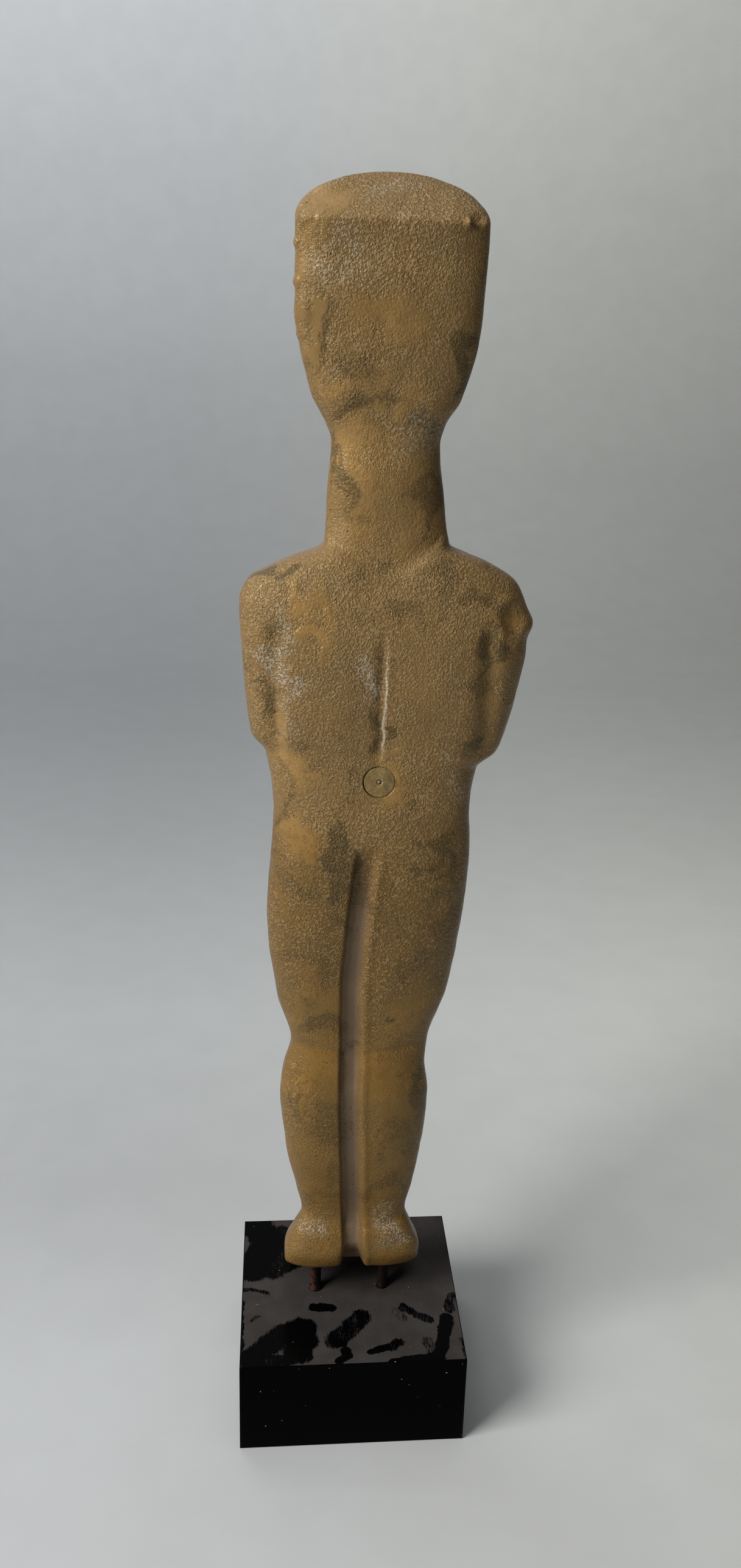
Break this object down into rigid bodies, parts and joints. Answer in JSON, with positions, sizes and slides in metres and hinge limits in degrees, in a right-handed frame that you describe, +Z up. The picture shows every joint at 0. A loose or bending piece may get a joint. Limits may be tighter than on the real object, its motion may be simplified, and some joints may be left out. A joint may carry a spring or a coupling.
{
  "type": "cycladic figurine on a stand",
  "caption": "Standing folded-arm figurine of tinted cast stone, held on thin metal pins above a square polished black plinth block.",
  "frame": {"origin": "centre of the plinth block's underside, on the surface it stands on", "axes": "+Z up along the figure, -Y the way its face looks, +X its own left side"},
  "size_m": [0.1045, 0.09, 0.4741],
  "materials": {
    "cast_stone": "satin",
    "plug_filler": "satin",
    "pin_steel": "satin",
    "black_stone": "polished"
  },
  "bodies": {
    "root": {"figurine": "cast_stone", "back_plug": "plug_filler", "pin_left": "pin_steel", "pin_right": "pin_steel", "base_block": "black_stone"}
  },
  "joints": []
}
